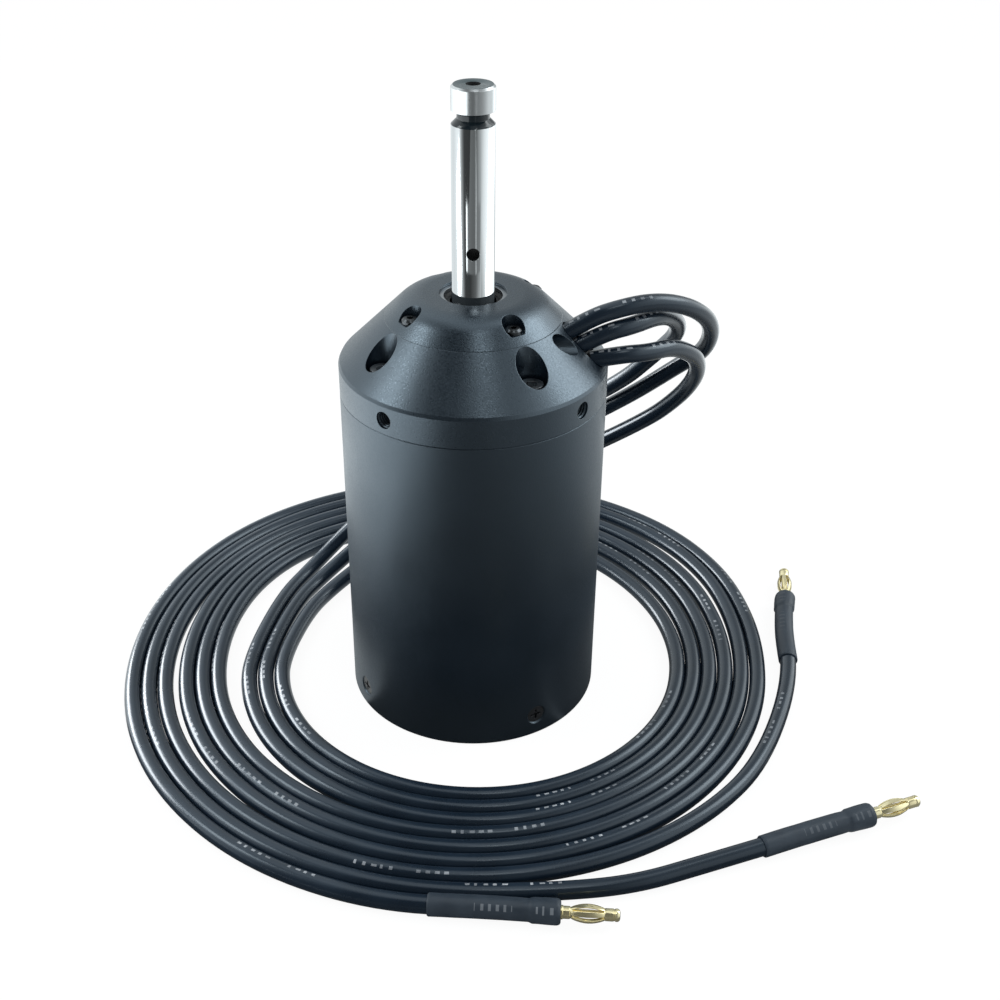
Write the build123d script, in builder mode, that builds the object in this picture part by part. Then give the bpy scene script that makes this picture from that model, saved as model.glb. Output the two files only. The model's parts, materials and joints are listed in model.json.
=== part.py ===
from build123d import *

import os
from math import cos, pi, radians, sin, sqrt, tan

# Brushless inrunner motor standing on its rear cover, shaft up.
# Origin at the centre of the base, +Z along the shaft, -Y towards the front, millimetres.

# Driving dimensions of the body
body_diameter = 65.0
body_length = 111.0
can_wall = 3.0
can_length = 86.7
can_foot_chamfer = 0.4
can_seam_chamfer = 0.2
rim_top = 94.1
rim_chamfer = 0.8
cap_seam_height = 105.4
cap_blend = 8.7
cap_bore_diameter = 16.1

# Driving dimensions of the shaft
shaft_diameter = 10.0
shaft_reach = 48.6
shaft_core_diameter = 14.4
seal_journal_diameter = 11.0
collar_length = 5.6
neck_length = 3.1
neck_diameter = 7.4
pin_hole_diameter = 3.0
pin_hole_height = 122.2
centre_hole_mouth = 1.65
centre_hole_radius = 1.0
centre_hole_depth = 4.0

# Deep groove ball bearing, 12 x 28 x 8
bearing_bore = 12.0
bearing_diameter = 28.0
bearing_width = 8.0
ball_count = 8
ball_diameter = 4.762
ball_pitch_diameter = 20.0
ball_clearance = 0.06
outer_land_radius = 12.0
inner_land_radius = 8.0
cage_radii = (9.1, 10.9)
shield_inner_radius = 8.4
shield_thickness = 0.3
shield_inset = 0.1
rear_bearing_height = 4.1
front_bearing_height = cap_seam_height - bearing_width

# Electrical parts
slot_count = 12
magnet_count = 8
stator_low = 21.0
stator_high = 71.0
stator_bore_radius = 17.1
tooth_width = 5.0
insulator_thickness = 1.0
coil_thickness = 1.9
coil_tooth_gap = 0.6
coil_end_rise = 2.7
coil_corner = 1.8
rotor_low = 20.0
rotor_high = 72.0
magnet_inner_radius = 13.0
magnet_outer_radius = 16.2
magnet_gap = 1.2
rotor_sleeve_wall = 0.4
balance_ring_radius = 15.4
balance_ring_height = 4.0

# Hole patterns, four of each, turned about Z from +X
pattern_count = 4
screw_turn = -58.0
rim_hole_turn = -39.0
foot_turn = -60.0
rim_hole_height = 90.3
rim_hole_radius = 2.1
rim_hole_depth = 9.5

# Socket head screws of the nose flange, each at the bottom of a deep counterbore
flange_screw_circle = 25.0
flange_screw_seat = 94.4
flange_counterbore_radius = 3.75
flange_head_radius = 2.75
flange_head_height = 3.2
flange_key_radius = 1.25
flange_key_depth = 1.8
flange_thread_radius = 1.47
flange_screw_length = 17.0

# Low round head screws of the bearing cap, each in an open pocket
cap_screw_circle = 17.2
cap_screw_seat = 107.2
cap_pocket_radius = 2.7
cap_head_radius = 1.95
cap_head_height = 1.3
cap_head_chamfer = 0.5
cap_key_radius = 0.7
cap_key_depth = 0.7
cap_thread_radius = 1.22
cap_screw_length = 7.5

# Countersunk foot screws with a cross recess
foot_screw_height = 6.25
foot_head_radius = 2.4
foot_head_depth = 1.4
foot_thread_radius = 1.45
foot_thread_length = 9.0
foot_cross_width = 0.6
foot_cross_length = 2.8
foot_cross_depth = 0.8
foot_head_inset = 0.35

# Phase leads, one above the other down the slope of the cone
lead_diameter = 4.3
lead_flats = 8
lead_floor = 2.25
lead_straight = 6.0
lead_set_in = 1.2
lead_heading = {"a": -8.0, "b": -2.0, "c": -10.0}
lead_rise = {"a": 32.0, "b": 34.0, "c": 15.0}
lead_place = {"a": -0.25, "b": -4.75, "c": 4.75}
conductor_radius = 1.2
slot_azimuth = -12.0
slot_centre_radius = 26.55
slot_width = 4.9
slot_run = 9.5
slot_inner_depth = 8.0
slot_outer_depth = 1.5
gland_recess = 0.6
gland_depth = 5.0
conductor_length = 3.4
spare_bore_radius = 2.45
spare_bore_floor = (17.0, -10.9, 102.5)
spare_bore_depth = 10.0

# Soft coil of the leads on the floor, and the crimped ends
coil_centre = (-4.0, 3.0)
coil_radius = 93.0
coil_eye_centre = (0.0, 3.0)
coil_eye_radius = 53.0
coil_height = 4.5
sleeve_length = 29.5
sleeve_radius = 2.65
sleeve_swell_radius = 3.2
sleeve_swell_length = 8.5
bullet_radius = 2.0
bullet_length = 13.0
bullet_cup_depth = 7.0
end_start = {"a": (-10.1, -88.4, 2.7), "b": (67.0, -71.0, 2.7), "c": (86.5, -1.0, 2.7)}
end_aim = {"a": (32.4, -92.5, 3.7), "b": (107.5, -56.5, 3.7), "c": (93.0, 40.0, 3.7)}

# Derived sizes
body_radius = body_diameter / 2
can_bore_radius = body_radius - can_wall
cone_sum = body_radius + rim_top
cap_base_radius = cone_sum - cap_seam_height
shaft_radius = shaft_diameter / 2
shaft_top = body_length + shaft_reach
core_radius = shaft_core_diameter / 2
journal_radius = bearing_bore / 2
seat_radius = bearing_diameter / 2
ball_radius = ball_diameter / 2
pitch_radius = ball_pitch_diameter / 2
lead_radius = lead_diameter / 2
end_space = 5.9

os.makedirs("parts", exist_ok=True)


def around(turn, count=pattern_count):
    return [turn + 360 / count * step for step in range(count)]


def radial_plane(angle, radius, height):
    across = (-sin(radians(angle)), cos(radians(angle)), 0)
    out = (cos(radians(angle)), sin(radians(angle)), 0)
    return Plane(origin=(radius * out[0], radius * out[1], height), x_dir=across, z_dir=out)


# Can: plain tube, countersunk for the four foot screws
with BuildPart() as motor_can:
    with BuildSketch(Plane.XY):
        Circle(body_radius)
        Circle(can_bore_radius, mode=Mode.SUBTRACT)
    extrude(amount=can_length)
    chamfer(motor_can.edges().group_by(Axis.Z)[0].sort_by(SortBy.LENGTH)[-1], can_foot_chamfer)
    chamfer(motor_can.edges().group_by(Axis.Z)[-1].sort_by(SortBy.LENGTH)[-1], can_seam_chamfer)
    for angle in around(foot_turn):
        with Locations(radial_plane(angle, body_radius, foot_screw_height)):
            CounterSinkHole(radius=1.6, counter_sink_radius=2.75, depth=can_wall + 1)
motor_can.part.label = "motor_can"
export_step(motor_can.part, "parts/motor_can.step")

# Lead slot: one obround cut square into the cone of the nose, running down its slope
slot_turn = radians(slot_azimuth)
slot_down = Vector(cos(slot_turn), sin(slot_turn), -1).normalized()
slot_out = Vector(cos(slot_turn), sin(slot_turn), 1).normalized()
slot_mouth = Vector(
    slot_centre_radius * cos(slot_turn),
    slot_centre_radius * sin(slot_turn),
    cone_sum - slot_centre_radius,
)
slot_plane = Plane(origin=slot_mouth, x_dir=slot_down, z_dir=slot_out)


def lead_direction(name):
    heading = radians(lead_heading[name])
    rise = radians(lead_rise[name])
    return Vector(cos(heading) * cos(rise), sin(heading) * cos(rise), sin(rise))


def lead_root(name):
    return slot_mouth + slot_down * lead_place[name] - lead_direction(name) * lead_set_in


def lead_plane(name):
    return Plane(origin=lead_root(name), z_dir=lead_direction(name))


# Nose flange: turned rim and 45 degree cone, bored for the front bearing
nose_bottom = 82.0
nose_pocket_radius = 20.5
web_bottom = 93.2
web_lip = 4.0
lead_pocket_circle = 18.6
lead_pocket_half_angle = 10.0
lead_pocket_width = 3.6
lead_pocket_top = 98.0
with BuildPart() as nose_flange:
    with BuildSketch(Plane.XZ):
        with BuildLine():
            Polyline(
                (seat_radius, cap_seam_height),
                (cap_base_radius, cap_seam_height),
                (body_radius - rim_chamfer / 2, rim_top + rim_chamfer / 2),
                (body_radius, rim_top - rim_chamfer / 2),
                (body_radius, can_length),
                (can_bore_radius, can_length),
                (can_bore_radius, nose_bottom),
                (nose_pocket_radius, nose_bottom),
                (nose_pocket_radius, web_bottom - 2),
                (nose_pocket_radius - 2, web_bottom),
                (seat_radius - web_lip, web_bottom),
                (seat_radius - web_lip, front_bearing_height),
                (seat_radius, front_bearing_height),
                close=True,
            )
        make_face()
    revolve(axis=Axis.Z)
    with BuildSketch(Plane.XY.offset(nose_bottom)):
        with PolarLocations(flange_screw_circle, pattern_count, screw_turn):
            Circle(flange_thread_radius + 0.2)
    extrude(amount=flange_screw_seat - nose_bottom, mode=Mode.SUBTRACT)
    with BuildSketch(Plane.XY.offset(flange_screw_seat)):
        with PolarLocations(flange_screw_circle, pattern_count, screw_turn):
            Circle(flange_counterbore_radius)
    extrude(amount=body_length - flange_screw_seat, mode=Mode.SUBTRACT)
    with BuildSketch(Plane.XY.offset(cap_seam_height)):
        with PolarLocations(cap_screw_circle, pattern_count, screw_turn):
            Circle(cap_thread_radius + 0.03)
    extrude(amount=-cap_screw_length, mode=Mode.SUBTRACT)
    for angle in around(rim_hole_turn):
        with BuildSketch(radial_plane(angle, body_radius + 1, rim_hole_height)):
            Circle(rim_hole_radius)
        extrude(amount=-rim_hole_depth - 1, mode=Mode.SUBTRACT)
    with BuildSketch(slot_plane.offset(slot_outer_depth)):
        SlotCenterToCenter(slot_run, slot_width)
    extrude(amount=-slot_outer_depth - slot_inner_depth, mode=Mode.SUBTRACT)
    # blind bore beside the slot, level, facing +X
    with BuildSketch(Plane(origin=spare_bore_floor, z_dir=(1, 0, 0))):
        Circle(spare_bore_radius)
    extrude(amount=spare_bore_depth, mode=Mode.SUBTRACT)
    # kidney pocket milled from inside, up to the lead slot
    with BuildSketch(Plane.XY.offset(nose_bottom)):
        with BuildLine():
            pocket_arc = CenterArc(
                (0, 0),
                lead_pocket_circle,
                slot_azimuth - lead_pocket_half_angle,
                2 * lead_pocket_half_angle,
            )
        SlotArc(pocket_arc, lead_pocket_width)
    extrude(amount=lead_pocket_top - nose_bottom, mode=Mode.SUBTRACT)
nose_flange.part.label = "nose_flange"
export_step(nose_flange.part, "parts/nose_flange.step")

# Lead gland: one rubber block set a little back in the mouth of the slot
with BuildPart() as lead_gland:
    with BuildSketch(slot_plane.offset(-gland_recess)):
        SlotCenterToCenter(slot_run, slot_width)
    extrude(amount=gland_recess - gland_depth)
    for name in lead_place:
        with BuildSketch(lead_plane(name)):
            Circle(lead_radius)
        extrude(amount=gland_depth, mode=Mode.SUBTRACT)
        with BuildSketch(lead_plane(name)):
            Circle(conductor_radius)
        extrude(amount=-2 * gland_depth, mode=Mode.SUBTRACT)
lead_gland.part.label = "lead_gland"
export_step(lead_gland.part, "parts/lead_gland.step")

# Bared conductors of the leads, inside the gland
with BuildPart() as lead_conductors:
    for name in lead_place:
        with BuildSketch(lead_plane(name)):
            Circle(conductor_radius)
        extrude(amount=-conductor_length)
lead_conductors.part.label = "lead_conductors"
export_step(lead_conductors.part, "parts/lead_conductors.step")

# Bearing cap: carries on the cone, blends to a flat top, holds the seal in its bore
cap_bore_radius = cap_bore_diameter / 2
cap_spigot_radius = 8.8
seal_seat = 106.6
seal_ledge_radius = 7.2
seal_ledge_height = 0.4
clip_groove_low = 109.25
clip_groove_high = 110.35
clip_groove_radius = 8.5
with BuildPart() as bearing_cap:
    with BuildSketch(Plane.XZ) as cap_profile:
        with BuildLine():
            Polyline(
                (cap_bore_radius, body_length),
                (cone_sum - body_length, body_length),
                (cap_base_radius, cap_seam_height),
                (cap_spigot_radius, cap_seam_height),
                (cap_spigot_radius, seal_seat - seal_ledge_height),
                (seal_ledge_radius, seal_seat - seal_ledge_height),
                (seal_ledge_radius, seal_seat),
                (cap_bore_radius, seal_seat),
                (cap_bore_radius, clip_groove_low),
                (clip_groove_radius, clip_groove_low),
                (clip_groove_radius, clip_groove_high),
                (cap_bore_radius, clip_groove_high),
                close=True,
            )
        make_face()
        fillet(cap_profile.vertices().sort_by(Axis.Y)[-2:].sort_by(Axis.X)[-1], cap_blend)
    revolve(axis=Axis.Z)
    with BuildSketch(Plane.XY.offset(cap_screw_seat)):
        with PolarLocations(cap_screw_circle, pattern_count, screw_turn):
            Circle(cap_pocket_radius)
    extrude(amount=body_length - cap_screw_seat, mode=Mode.SUBTRACT)
    with BuildSketch(Plane.XY.offset(cap_seam_height)):
        with PolarLocations(cap_screw_circle, pattern_count, screw_turn):
            Circle(cap_thread_radius + 0.15)
    extrude(amount=cap_screw_seat - cap_seam_height, mode=Mode.SUBTRACT)
bearing_cap.part.label = "bearing_cap"
export_step(bearing_cap.part, "parts/bearing_cap.step")

# Front end plate: threaded ring inside the can that the nose flange is screwed to
with BuildPart() as front_end_plate:
    with BuildSketch(Plane.XY.offset(stator_high + end_space)):
        Circle(can_bore_radius)
        Circle(nose_pocket_radius, mode=Mode.SUBTRACT)
        with PolarLocations(flange_screw_circle, pattern_count, screw_turn):
            Circle(flange_thread_radius + 0.03, mode=Mode.SUBTRACT)
    extrude(amount=nose_bottom - stator_high - end_space)
front_end_plate.part.label = "front_end_plate"
export_step(front_end_plate.part, "parts/front_end_plate.step")

# Rear cover: plug in the can with the rear bearing seat
cover_height = 13.0
cover_floor = 1.8
cover_chamfer = 0.4
cover_well_radius = 9.5
cover_trough_height = 10.0
cover_trough_radii = (17.5, 18.5, 24.0, 25.5)
washer_thickness = 0.6
with BuildPart() as rear_cover:
    with BuildSketch(Plane.XZ):
        with BuildLine():
            Polyline(
                (0, 0),
                (can_bore_radius - cover_chamfer, 0),
                (can_bore_radius, cover_chamfer),
                (can_bore_radius, cover_height),
                (cover_trough_radii[3], cover_height),
                (cover_trough_radii[2], cover_trough_height),
                (cover_trough_radii[1], cover_trough_height),
                (cover_trough_radii[0], cover_height),
                (seat_radius, cover_height),
                (seat_radius, rear_bearing_height - washer_thickness),
                (cover_well_radius, rear_bearing_height - washer_thickness),
                (cover_well_radius, cover_floor),
                (0, cover_floor),
                close=True,
            )
        make_face()
    revolve(axis=Axis.Z)
    for angle in around(foot_turn):
        with BuildSketch(radial_plane(angle, can_bore_radius + 0.5, foot_screw_height)):
            Circle(foot_thread_radius + 0.05)
        extrude(amount=-foot_thread_length, mode=Mode.SUBTRACT)
rear_cover.part.label = "rear_cover"
export_step(rear_cover.part, "parts/rear_cover.step")

# Socket head screws that hold the nose flange
with BuildPart() as flange_screws:
    with BuildSketch(Plane.XY.offset(flange_screw_seat)):
        with PolarLocations(flange_screw_circle, pattern_count, screw_turn):
            Circle(flange_head_radius)
    extrude(amount=flange_head_height)
    with BuildSketch(Plane.XY.offset(flange_screw_seat + flange_head_height)):
        with PolarLocations(flange_screw_circle, pattern_count, screw_turn):
            RegularPolygon(flange_key_radius, 6, major_radius=False)
    extrude(amount=-flange_key_depth, mode=Mode.SUBTRACT)
    with BuildSketch(Plane.XY.offset(flange_screw_seat)):
        with PolarLocations(flange_screw_circle, pattern_count, screw_turn):
            Circle(flange_thread_radius)
    extrude(amount=-flange_screw_length)
flange_screws.part.label = "flange_screws"
export_step(flange_screws.part, "parts/flange_screws.step")

# Low head screws in the pockets of the cap
with BuildPart() as cap_screws:
    with BuildSketch(Plane.XY.offset(cap_screw_seat)):
        with PolarLocations(cap_screw_circle, pattern_count, screw_turn):
            Circle(cap_head_radius)
    extrude(amount=cap_head_height - cap_head_chamfer)
    with BuildSketch(Plane.XY.offset(cap_screw_seat + cap_head_height - cap_head_chamfer)):
        with PolarLocations(cap_screw_circle, pattern_count, screw_turn):
            Circle(cap_head_radius)
    extrude(amount=cap_head_chamfer, taper=45)
    with BuildSketch(Plane.XY.offset(cap_screw_seat + cap_head_height)):
        with PolarLocations(cap_screw_circle, pattern_count, screw_turn):
            RegularPolygon(cap_key_radius, 6, major_radius=False)
    extrude(amount=-cap_key_depth, mode=Mode.SUBTRACT)
    with BuildSketch(Plane.XY.offset(cap_screw_seat)):
        with PolarLocations(cap_screw_circle, pattern_count, screw_turn):
            Circle(cap_thread_radius)
    extrude(amount=-cap_screw_length)
cap_screws.part.label = "cap_screws"
export_step(cap_screws.part, "parts/cap_screws.step")

# Countersunk foot screws with a cross recess
with BuildPart() as foot_screws:
    for angle in around(foot_turn):
        head = radial_plane(angle, body_radius - foot_head_inset, foot_screw_height)
        with BuildSketch(head):
            Circle(foot_head_radius)
        extrude(amount=-foot_head_depth, taper=44)
        with BuildSketch(radial_plane(angle, body_radius - 1.2, foot_screw_height)):
            Circle(foot_thread_radius)
        extrude(amount=-foot_thread_length)
        with BuildSketch(head):
            Rectangle(foot_cross_length, foot_cross_width)
            Rectangle(foot_cross_width, foot_cross_length)
        extrude(amount=-foot_cross_depth, mode=Mode.SUBTRACT)
foot_screws.part.label = "foot_screws"
export_step(foot_screws.part, "parts/foot_screws.step")


# Lamination outline: back iron ring, straight teeth, narrow slot mouths
slot_floor = 25.6
slot_shoulder = 18.7
slot_mouth_half = 1.1
tooth_pitch = pi / slot_count
shoulder_half = slot_shoulder * tan(tooth_pitch) - tooth_width / 2
floor_half = slot_floor * tan(tooth_pitch) - tooth_width / 2
with BuildSketch() as winding_slot:
    with BuildLine():
        Polyline(
            (stator_bore_radius - 1, -slot_mouth_half),
            (slot_shoulder - 0.6, -slot_mouth_half),
            (slot_shoulder, -shoulder_half),
            (slot_floor, -floor_half),
            (slot_floor, floor_half),
            (slot_shoulder, shoulder_half),
            (slot_shoulder - 0.6, slot_mouth_half),
            (stator_bore_radius - 1, slot_mouth_half),
            close=True,
        )
    make_face()
with BuildSketch() as lamination:
    Circle(can_bore_radius)
    Circle(stator_bore_radius, mode=Mode.SUBTRACT)
    with PolarLocations(0, slot_count, 180 / slot_count):
        add(winding_slot.sketch, mode=Mode.SUBTRACT)

# Stator: stacked laminations
with BuildPart() as stator_core:
    with BuildSketch(Plane.XY.offset(stator_low)):
        add(lamination.sketch)
    extrude(amount=stator_high - stator_low)
stator_core.part.label = "stator_core"
export_step(stator_core.part, "parts/stator_core.step")

# Insulators: one sheet of the lamination outline on each end of the stack
with BuildPart() as end_insulators:
    for height in (stator_high, stator_low - insulator_thickness):
        with BuildSketch(Plane.XY.offset(height)):
            add(lamination.sketch)
        extrude(amount=insulator_thickness)
end_insulators.part.label = "end_insulators"
export_step(end_insulators.part, "parts/end_insulators.step")

# Windings: a rounded loop of copper round each tooth, every third tooth on one phase
coil_low = 19.2
coil_high = 25.2
stack_half = (stator_high - stator_low) / 2 + insulator_thickness
stack_middle = (stator_high + stator_low) / 2
coil_window = tooth_width + coil_tooth_gap
coil_span = 2 * (stack_half + coil_end_rise)
for phase_step, phase in enumerate("abc"):
    with BuildPart() as winding:
        for angle in around(120 / slot_count * 3 * phase_step, slot_count // 3):
            with BuildSketch(radial_plane(angle, coil_low, stack_middle)):
                RectangleRounded(coil_window + 2 * coil_thickness, coil_span, coil_corner)
                Rectangle(coil_window, 2 * stack_half + 0.4, mode=Mode.SUBTRACT)
            extrude(amount=coil_high - coil_low)
    winding.part.label = f"winding_phase_{phase}"
    export_step(winding.part, f"parts/winding_phase_{phase}.step")

# Shaft: one turned piece with journals, drive end, ring groove and cross hole
neck_top = shaft_top - collar_length
neck_bottom = neck_top - neck_length
rear_end = 2.2
rear_journal_top = rear_bearing_height + bearing_width
shaft_groove_depth = 0.3
with BuildPart() as shaft:
    with BuildSketch(Plane.XZ) as shaft_profile:
        with BuildLine():
            Polyline(
                (0, rear_end),
                (journal_radius - 0.4, rear_end),
                (journal_radius, rear_end + 0.4),
                (journal_radius, rear_bearing_height - 1.1),
                (journal_radius - shaft_groove_depth, rear_bearing_height - 1.1),
                (journal_radius - shaft_groove_depth, rear_bearing_height),
                (journal_radius, rear_bearing_height),
                (journal_radius, rear_journal_top),
                (core_radius, rear_journal_top),
                (core_radius, front_bearing_height),
                (journal_radius, front_bearing_height),
                (journal_radius, cap_seam_height + 0.5),
                (seal_journal_diameter / 2, cap_seam_height + 0.5),
                (seal_journal_diameter / 2, body_length + 0.2),
                (shaft_radius, body_length + 0.2),
                (shaft_radius, neck_bottom),
                (neck_diameter / 2, neck_bottom + 1.3),
                (neck_diameter / 2, neck_top - 0.6),
                (shaft_radius, neck_top),
                (shaft_radius, shaft_top - 0.5),
                (shaft_radius - 0.5, shaft_top),
                (centre_hole_mouth, shaft_top),
                (centre_hole_radius, shaft_top - 0.8),
                (centre_hole_radius, shaft_top - centre_hole_depth),
                (0, shaft_top - centre_hole_depth - 0.6),
                close=True,
            )
        make_face()
    revolve(axis=Axis.Z)
    with BuildSketch(Plane.XZ.offset(-shaft_radius - 1)):
        with Locations((0, pin_hole_height)):
            Circle(pin_hole_diameter / 2)
    extrude(amount=shaft_diameter + 2, mode=Mode.SUBTRACT)
shaft.part.label = "shaft"
export_step(shaft.part, "parts/shaft.step")


def turned_ring(low, high, inner, outer):
    with BuildPart() as ring:
        with BuildSketch(Plane.XY.offset(low)):
            Circle(outer)
            Circle(inner, mode=Mode.SUBTRACT)
        extrude(amount=high - low)
    return ring.part


# Rotor: core, arc magnets with gaps, retaining sleeve and brass balance rings
with BuildPart() as rotor_core:
    add(turned_ring(rotor_low, rotor_high, core_radius, magnet_inner_radius))
rotor_core.part.label = "rotor_core"
export_step(rotor_core.part, "parts/rotor_core.step")

with BuildPart() as magnets:
    with BuildSketch(Plane.XY.offset(rotor_low)):
        Circle(magnet_outer_radius)
        Circle(magnet_inner_radius, mode=Mode.SUBTRACT)
        with PolarLocations((magnet_inner_radius + magnet_outer_radius) / 2, magnet_count):
            Rectangle(8, magnet_gap, mode=Mode.SUBTRACT)
    extrude(amount=rotor_high - rotor_low)
magnets.part.label = "magnets"
export_step(magnets.part, "parts/magnets.step")

with BuildPart() as rotor_sleeve:
    sleeve_outer = magnet_outer_radius + rotor_sleeve_wall
    add(turned_ring(rotor_low, rotor_high, magnet_outer_radius, sleeve_outer))
rotor_sleeve.part.label = "rotor_sleeve"
export_step(rotor_sleeve.part, "parts/rotor_sleeve.step")

with BuildPart() as balance_rings:
    for low in (rotor_low - balance_ring_height, rotor_high):
        add(turned_ring(low, low + balance_ring_height, core_radius, balance_ring_radius))
balance_rings.part.label = "balance_rings"
export_step(balance_rings.part, "parts/balance_rings.step")

clip_thickness = 1.0
with BuildPart() as shaft_circlip:
    with BuildSketch(Plane.XY.offset(rear_bearing_height - clip_thickness - 0.05)):
        Circle(journal_radius + 1.2)
        Circle(journal_radius - shaft_groove_depth, mode=Mode.SUBTRACT)
        with Locations((0, -journal_radius)):
            Rectangle(3.0, 4.0, mode=Mode.SUBTRACT)
    extrude(amount=clip_thickness)
shaft_circlip.part.label = "shaft_circlip"
export_step(shaft_circlip.part, "parts/shaft_circlip.step")

# Ball bearings: grooved rings, eight balls in a crown cage, a shield on each face
track_half = 1.6
for place, height in {"rear": rear_bearing_height, "front": front_bearing_height}.items():
    middle = height + bearing_width / 2
    with BuildPart() as outer_ring:
        add(turned_ring(height, height + bearing_width, outer_land_radius, seat_radius))
        track_floor = pitch_radius + ball_radius + ball_clearance
        track = turned_ring(
            middle - track_half, middle + track_half, outer_land_radius - 0.1, track_floor
        )
        add(track, mode=Mode.SUBTRACT)
    outer_ring.part.label = f"{place}_bearing_outer_ring"
    export_step(outer_ring.part, f"parts/{place}_bearing_outer_ring.step")

    with BuildPart() as inner_ring:
        add(turned_ring(height, height + bearing_width, journal_radius, inner_land_radius))
        track_floor = pitch_radius - ball_radius - ball_clearance
        track = turned_ring(
            middle - track_half, middle + track_half, track_floor, inner_land_radius + 0.1
        )
        add(track, mode=Mode.SUBTRACT)
    inner_ring.part.label = f"{place}_bearing_inner_ring"
    export_step(inner_ring.part, f"parts/{place}_bearing_inner_ring.step")

    # each ball has 26 flats, six of which touch its circle of contact
    with BuildPart() as ball:
        with Locations((pitch_radius, 0, middle)):
            Box(ball_diameter, ball_diameter, ball_diameter)
        chamfer(ball.edges(), ball_radius * (2 - sqrt(2)))
    with BuildPart() as ball_set:
        with PolarLocations(0, ball_count):
            add(ball.part)
    ball_set.part.label = f"{place}_bearing_balls"
    export_step(ball_set.part, f"parts/{place}_bearing_balls.step")

    pocket = ball_diameter + 0.16
    with BuildPart() as cage:
        add(turned_ring(middle - 3.1, middle + 0.9, *cage_radii))
        with PolarLocations(pitch_radius, ball_count):
            with Locations((0, 0, middle)):
                Box(4, pocket, pocket, mode=Mode.SUBTRACT)
    cage.part.label = f"{place}_bearing_cage"
    export_step(cage.part, f"parts/{place}_bearing_cage.step")

    with BuildPart() as shields:
        top_shield = height + bearing_width - shield_inset - shield_thickness
        for low in (height + shield_inset, top_shield):
            high = low + shield_thickness
            add(turned_ring(low, high, shield_inner_radius, outer_land_radius))
    shields.part.label = f"{place}_bearing_shields"
    export_step(shields.part, f"parts/{place}_bearing_shields.step")

with BuildPart() as preload_washer:
    washer_low = rear_bearing_height - washer_thickness
    add(turned_ring(washer_low, rear_bearing_height, 11.2, seat_radius - 0.1))
preload_washer.part.label = "preload_washer"
export_step(preload_washer.part, "parts/preload_washer.step")

# Seal in the bore of the cap, with a lip that runs on the shaft
seal_lip = seal_journal_diameter / 2 + 0.05
with BuildPart() as shaft_seal:
    with BuildSketch(Plane.XZ):
        with BuildLine():
            Polyline(
                (cap_bore_radius, seal_seat),
                (cap_bore_radius, clip_groove_low),
                (7.0, clip_groove_low),
                (6.4, clip_groove_low - 0.5),
                (seal_lip, clip_groove_low - 0.3),
                (seal_lip, clip_groove_low - 0.8),
                (6.3, seal_seat + 0.9),
                (6.9, seal_seat),
                close=True,
            )
        make_face()
    revolve(axis=Axis.Z)
shaft_seal.part.label = "shaft_seal"
export_step(shaft_seal.part, "parts/shaft_seal.step")

# Internal circlip over the seal, its drilled ears either side of a gap
ear_turns = (-122, -58)
ear_circle = 6.9
ear_radius = 0.95
ear_hole_radius = 0.45
clip_inner_radius = 7.0
clip_mouth = 7.0
with BuildPart() as seal_circlip:
    with BuildSketch(Plane.XY.offset(clip_groove_low + 0.05)):
        Circle(clip_groove_radius - 0.05)
        Circle(clip_inner_radius, mode=Mode.SUBTRACT)
        with Locations((0, -cap_bore_radius)):
            Rectangle(clip_mouth, 4.0, mode=Mode.SUBTRACT)
        for turn in ear_turns:
            with PolarLocations(ear_circle, 1, turn):
                Circle(ear_radius)
        for turn in ear_turns:
            with PolarLocations(ear_circle, 1, turn):
                Circle(ear_hole_radius, mode=Mode.SUBTRACT)
    extrude(amount=clip_thickness)
seal_circlip.part.label = "seal_circlip"
export_step(seal_circlip.part, "parts/seal_circlip.step")

# Free leads from the gland to the floor. Each starts straight out of its mouth, then
# follows a list of points, rounded by arcs of 0.45 of the shorter run over the tangent
# of half the turn.
lead_routes = {
    "a": [
        (37.7, -4.0, 104.3),
        (43.2, 1.2, 104.1),
        (47.6, 7.0, 101.8),
        (50.9, 12.8, 97.4),
        (51.4, 17.8, 92.0),
        (48.8, 21.8, 86.6),
        (45.2, 25.6, 80.6),
        (40.8, 29.5, 74.0),
        (32.0, 37.0, 64.0),
        (13.0, 50.0, 50.5),
        (-12.0, 57.5, 33.0),
        (-34.0, 55.5, 14.0),
        (-49.0, 44.5, lead_floor),
        (-56.0, 29.0, lead_floor),
    ],
    "b": [
        (34.8, -4.1, 108.8),
        (40.9, -2.0, 109.2),
        (47.2, 1.0, 107.9),
        (53.5, 5.2, 104.4),
        (58.1, 10.0, 99.2),
        (59.8, 15.0, 92.8),
        (58.6, 19.5, 86.2),
        (53.8, 24.0, 80.4),
        (48.3, 28.0, 74.0),
        (43.0, 32.0, 67.9),
        (33.0, 38.5, 58.0),
        (12.5, 48.0, 42.0),
        (-11.0, 52.5, 25.5),
        (-32.0, 49.0, 10.5),
        (-45.5, 39.5, lead_floor),
        (-52.0, 26.0, lead_floor),
    ],
    "c": [
        (41.6, -4.8, 97.6),
        (47.4, -0.4, 97.0),
        (51.9, 3.8, 94.0),
        (55.2, 7.8, 90.3),
        (56.9, 13.2, 84.0),
        (55.9, 18.5, 77.0),
        (52.8, 23.0, 70.3),
        (47.4, 28.0, 62.5),
        (31.0, 37.5, 47.5),
        (10.0, 45.0, 33.0),
        (-12.0, 47.0, 18.5),
        (-31.0, 42.5, 7.0),
        (-42.5, 33.0, lead_floor),
        (-48.0, 21.5, lead_floor),
    ],
}
tail_route = [(24.0, -83.8, lead_floor), (38.0, -81.5, lead_floor)]
tail_straight = 16.0


def corner_radii(points):
    runs = [second - first for first, second in zip(points, points[1:])]
    radii = []
    for before, after in zip(runs, runs[1:]):
        turn = radians(before.get_angle(after))
        radii.append(0.45 * min(before.length, after.length) / tan(turn / 2))
    return radii


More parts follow.
